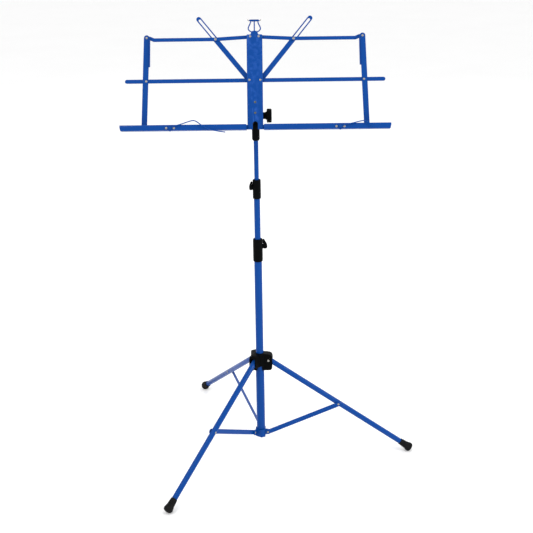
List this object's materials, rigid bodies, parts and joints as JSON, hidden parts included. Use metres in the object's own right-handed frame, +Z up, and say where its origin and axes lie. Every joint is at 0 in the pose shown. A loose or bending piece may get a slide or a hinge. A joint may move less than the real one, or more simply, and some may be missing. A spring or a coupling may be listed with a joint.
{
  "type": "folding music stand",
  "caption": "Three-legged folding music stand with a telescoping column and a tilting desk of hinged flat arms.",
  "frame": {"origin": "the point of the floor under the column axis", "axes": "+Z up along the column; the desk faces -Y; +X is the right-hand side seen from the front"},
  "size_m": [0.5553, 0.5361, 0.8651],
  "materials": {
    "blue_steel": "blue powder coat, semi-gloss",
    "black_plastic": "moulded black plastic",
    "rubber_foot": "black rubber",
    "zinc_steel": "zinc-plated rivets and pins"
  },
  "bodies": {
    "base": {"lower_tube": "blue_steel", "base_sleeve": "blue_steel", "base_bracket": "blue_steel", "tube_end_plug": "black_plastic", "bracket_rivets": "zinc_steel", "lower_collar": "black_plastic"},
    "hub": {"leg_hub": "black_plastic", "hub_leg_pins": "zinc_steel"},
    "leg_1": {"leg_1": "blue_steel", "foot_1": "rubber_foot"},
    "stretcher_1": {"stretcher_1": "blue_steel", "stretcher_rivet_1": "zinc_steel"},
    "leg_2": {"leg_2": "blue_steel", "foot_2": "rubber_foot"},
    "stretcher_2": {"stretcher_2": "blue_steel", "stretcher_rivet_2": "zinc_steel"},
    "leg_3": {"leg_3": "blue_steel", "foot_3": "rubber_foot"},
    "stretcher_3": {"stretcher_3": "blue_steel", "stretcher_rivet_3": "zinc_steel"},
    "lower_screw": {"lower_screw": "black_plastic"},
    "mid_section": {"mid_tube": "blue_steel", "mid_tube_glide": "black_plastic", "upper_collar": "black_plastic"},
    "upper_screw": {"upper_screw": "black_plastic"},
    "top_section": {"top_tube": "blue_steel", "top_tube_glide": "black_plastic"},
    "neck": {"tilt_neck": "black_plastic"},
    "desk": {"tilt_bracket": "blue_steel", "bracket_plate_rivets": "zinc_steel", "tilt_bolt": "zinc_steel", "centre_plate": "blue_steel", "plate_pivot_rivets": "zinc_steel", "lyre_frame": "blue_steel", "lyre_crossbar": "blue_steel"},
    "tilt_knob": {"tilt_knob": "black_plastic"},
    "tray_left": {"tray_left": "blue_steel", "clip_saddle_left": "blue_steel", "clip_rivets_left": "zinc_steel"},
    "page_holder_left": {"page_holder_left": "blue_steel"},
    "mid_arm_left": {"mid_arm_left": "blue_steel"},
    "side_bar_left": {"side_bar_left": "blue_steel", "side_bar_rivets_left": "zinc_steel"},
    "top_arm_left": {"top_arm_left": "blue_steel", "brace_pin_left": "zinc_steel"},
    "brace_left": {"brace_left": "blue_steel"},
    "tray_right": {"tray_right": "blue_steel", "clip_saddle_right": "blue_steel", "clip_rivets_right": "zinc_steel"},
    "page_holder_right": {"page_holder_right": "blue_steel"},
    "mid_arm_right": {"mid_arm_right": "blue_steel"},
    "side_bar_right": {"side_bar_right": "blue_steel", "side_bar_rivets_right": "zinc_steel"},
    "top_arm_right": {"top_arm_right": "blue_steel", "brace_pin_right": "zinc_steel"},
    "brace_right": {"brace_right": "blue_steel"}
  },
  "joints": [
    {"name": "hub_slide", "type": "slide", "parent": "base", "child": "hub", "axis": [0, 0, 1], "range_m": [0, 0.16516]},
    {"name": "leg_1_fold", "type": "hinge", "parent": "hub", "child": "leg_1", "pos_m": [-0.00984, -0.01459, 0.19627], "axis": [0.829, -0.5592, 0], "range_deg": [0, 52.32]},
    {"name": "stretcher_1_fold", "type": "hinge", "parent": "base", "child": "stretcher_1", "pos_m": [-0.00816, -0.0121, 0.036], "axis": [-0.829, 0.5592, 0], "range_deg": [0, 59.63]},
    {"name": "leg_2_fold", "type": "hinge", "parent": "hub", "child": "leg_2", "pos_m": [0.01756, -0.00123, 0.19627], "axis": [0.0698, 0.9976, 0], "range_deg": [0, 52.32]},
    {"name": "stretcher_2_fold", "type": "hinge", "parent": "base", "child": "stretcher_2", "pos_m": [0.01456, -0.00102, 0.036], "axis": [-0.0698, -0.9976, 0], "range_deg": [0, 59.63]},
    {"name": "leg_3_fold", "type": "hinge", "parent": "hub", "child": "leg_3", "pos_m": [-0.00771, 0.01582, 0.19627], "axis": [-0.8988, -0.4384, 0], "range_deg": [0, 52.32]},
    {"name": "stretcher_3_fold", "type": "hinge", "parent": "base", "child": "stretcher_3", "pos_m": [-0.0064, 0.01312, 0.036], "axis": [0.8988, 0.4384, 0], "range_deg": [0, 59.63]},
    {"name": "mid_tube_slide", "type": "slide", "parent": "base", "child": "mid_section", "axis": [0, 0, 1], "range_m": [-0.078, 0.25]},
    {"name": "top_tube_slide", "type": "slide", "parent": "mid_section", "child": "top_section", "axis": [0, 0, 1], "range_m": [-0.072, 0.25]},
    {"name": "lower_screw_turn", "type": "hinge", "parent": "base", "child": "lower_screw", "pos_m": [0, 0, 0.434], "axis": [0.9781, 0.2079, 0], "continuous": true},
    {"name": "upper_screw_turn", "type": "hinge", "parent": "mid_section", "child": "upper_screw", "pos_m": [0, 0, 0.5525], "axis": [-0.9781, -0.2079, 0], "continuous": true},
    {"name": "desk_swivel", "type": "hinge", "parent": "top_section", "child": "neck", "pos_m": [0, 0, 0.655], "axis": [0, 0, 1], "continuous": true},
    {"name": "desk_tilt", "type": "hinge", "parent": "neck", "child": "desk", "pos_m": [0, 0, 0.6895], "axis": [-1, 0, 0], "range_deg": [-17, 63]},
    {"name": "tilt_knob_turn", "type": "hinge", "parent": "desk", "child": "tilt_knob", "pos_m": [0, 0, 0.6895], "axis": [1, 0, 0], "continuous": true},
    {"name": "mid_arm_left_fold", "type": "hinge", "parent": "desk", "child": "mid_arm_left", "pos_m": [-0.01, 0.00915, 0.75363], "axis": [0, 0.9563, -0.2924], "range_deg": [0, 80]},
    {"name": "tray_left_fold", "type": "hinge", "parent": "desk", "child": "tray_left", "pos_m": [-0.0112, -0.01982, 0.67255], "axis": [0, 0.9563, -0.2924], "range_deg": [0, 80]},
    {"name": "top_arm_left_fold", "type": "hinge", "parent": "desk", "child": "top_arm_left", "pos_m": [-0.00779, 0.03225, 0.82917], "axis": [0, 0.9563, -0.2924], "range_deg": [0, 80]},
    {"name": "side_bar_left_fold", "type": "hinge", "parent": "mid_arm_left", "child": "side_bar_left", "pos_m": [-0.2, 0.00724, 0.75421], "axis": [0, 0.9563, -0.2924], "range_deg": [-80, 0]},
    {"name": "brace_left_fold", "type": "hinge", "parent": "desk", "child": "brace_left", "pos_m": [-0.01, 0.01106, 0.75304], "axis": [0, 0.9563, -0.2924], "range_deg": [0, 33.95]},
    {"name": "page_holder_left_turn", "type": "hinge", "parent": "tray_left", "child": "page_holder_left", "pos_m": [-0.155, -0.0442, 0.67833], "axis": [0, -0.9563, 0.2924], "range_deg": [0, 150]},
    {"name": "mid_arm_right_fold", "type": "hinge", "parent": "desk", "child": "mid_arm_right", "pos_m": [0.01, 0.00915, 0.75363], "axis": [0, -0.9563, 0.2924], "range_deg": [0, 80]},
    {"name": "tray_right_fold", "type": "hinge", "parent": "desk", "child": "tray_right", "pos_m": [0.0112, -0.01982, 0.67255], "axis": [0, -0.9563, 0.2924], "range_deg": [0, 80]},
    {"name": "top_arm_right_fold", "type": "hinge", "parent": "desk", "child": "top_arm_right", "pos_m": [0.00779, 0.03225, 0.82917], "axis": [0, -0.9563, 0.2924], "range_deg": [0, 80]},
    {"name": "side_bar_right_fold", "type": "hinge", "parent": "mid_arm_right", "child": "side_bar_right", "pos_m": [0.2, 0.00724, 0.75421], "axis": [0, -0.9563, 0.2924], "range_deg": [-80, 0]},
    {"name": "brace_right_fold", "type": "hinge", "parent": "desk", "child": "brace_right", "pos_m": [0.01, 0.01106, 0.75304], "axis": [0, -0.9563, 0.2924], "range_deg": [0, 33.95]},
    {"name": "page_holder_right_turn", "type": "hinge", "parent": "tray_right", "child": "page_holder_right", "pos_m": [0.155, -0.0442, 0.67833], "axis": [0, -0.9563, 0.2924], "range_deg": [0, 150]}
  ],
  "couplings": [
    {"joint": "leg_1_fold", "follows": "hub_slide", "rad_per_m": 5.5289},
    {"joint": "stretcher_1_fold", "follows": "hub_slide", "rad_per_m": 6.3012},
    {"joint": "leg_2_fold", "follows": "hub_slide", "rad_per_m": 5.5289},
    {"joint": "stretcher_2_fold", "follows": "hub_slide", "rad_per_m": 6.3012},
    {"joint": "leg_3_fold", "follows": "hub_slide", "rad_per_m": 5.5289},
    {"joint": "stretcher_3_fold", "follows": "hub_slide", "rad_per_m": 6.3012},
    {"joint": "tray_left_fold", "follows": "mid_arm_left_fold", "ratio": 1},
    {"joint": "top_arm_left_fold", "follows": "mid_arm_left_fold", "ratio": 1},
    {"joint": "side_bar_left_fold", "follows": "mid_arm_left_fold", "ratio": -1},
    {"joint": "brace_left_fold", "follows": "mid_arm_left_fold", "ratio": 0.4244},
    {"joint": "tray_right_fold", "follows": "mid_arm_right_fold", "ratio": 1},
    {"joint": "top_arm_right_fold", "follows": "mid_arm_right_fold", "ratio": 1},
    {"joint": "side_bar_right_fold", "follows": "mid_arm_right_fold", "ratio": -1},
    {"joint": "brace_right_fold", "follows": "mid_arm_right_fold", "ratio": 0.4244}
  ]
}
